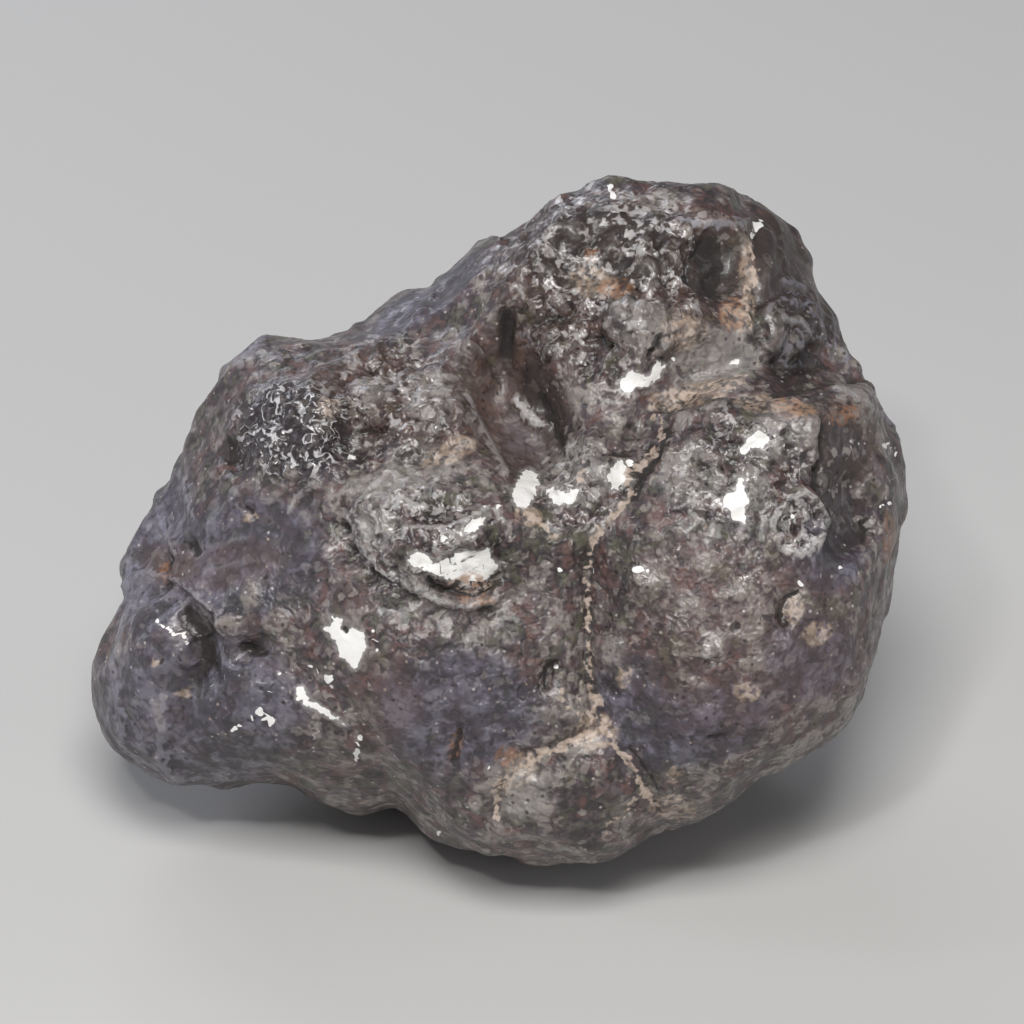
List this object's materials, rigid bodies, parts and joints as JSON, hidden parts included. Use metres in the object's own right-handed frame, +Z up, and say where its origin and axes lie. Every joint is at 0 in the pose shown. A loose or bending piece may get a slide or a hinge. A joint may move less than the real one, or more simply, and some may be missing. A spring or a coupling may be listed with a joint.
{
  "type": "lunar meteorite",
  "caption": "Dark rounded breccia stone with creased seams, a smooth scoop, pits and a raised crown, resting on a small flat spot.",
  "frame": {"origin": "on the flat spot that the stone rests on, straight under the middle of the stone", "axes": "+X to the right as the face is looked at and along the stone's longest extent, +Z up; the face, the side with the seams and hollows, looks towards -Y and 35 degrees up"},
  "size_m": [0.0909, 0.0679, 0.0672],
  "materials": {
    "breccia": "grey-brown breccia with a mauve cast, dull desert polish, tan crust in the seams, small white glassy patches"
  },
  "bodies": {
    "root": {"stone": "breccia"}
  },
  "joints": []
}
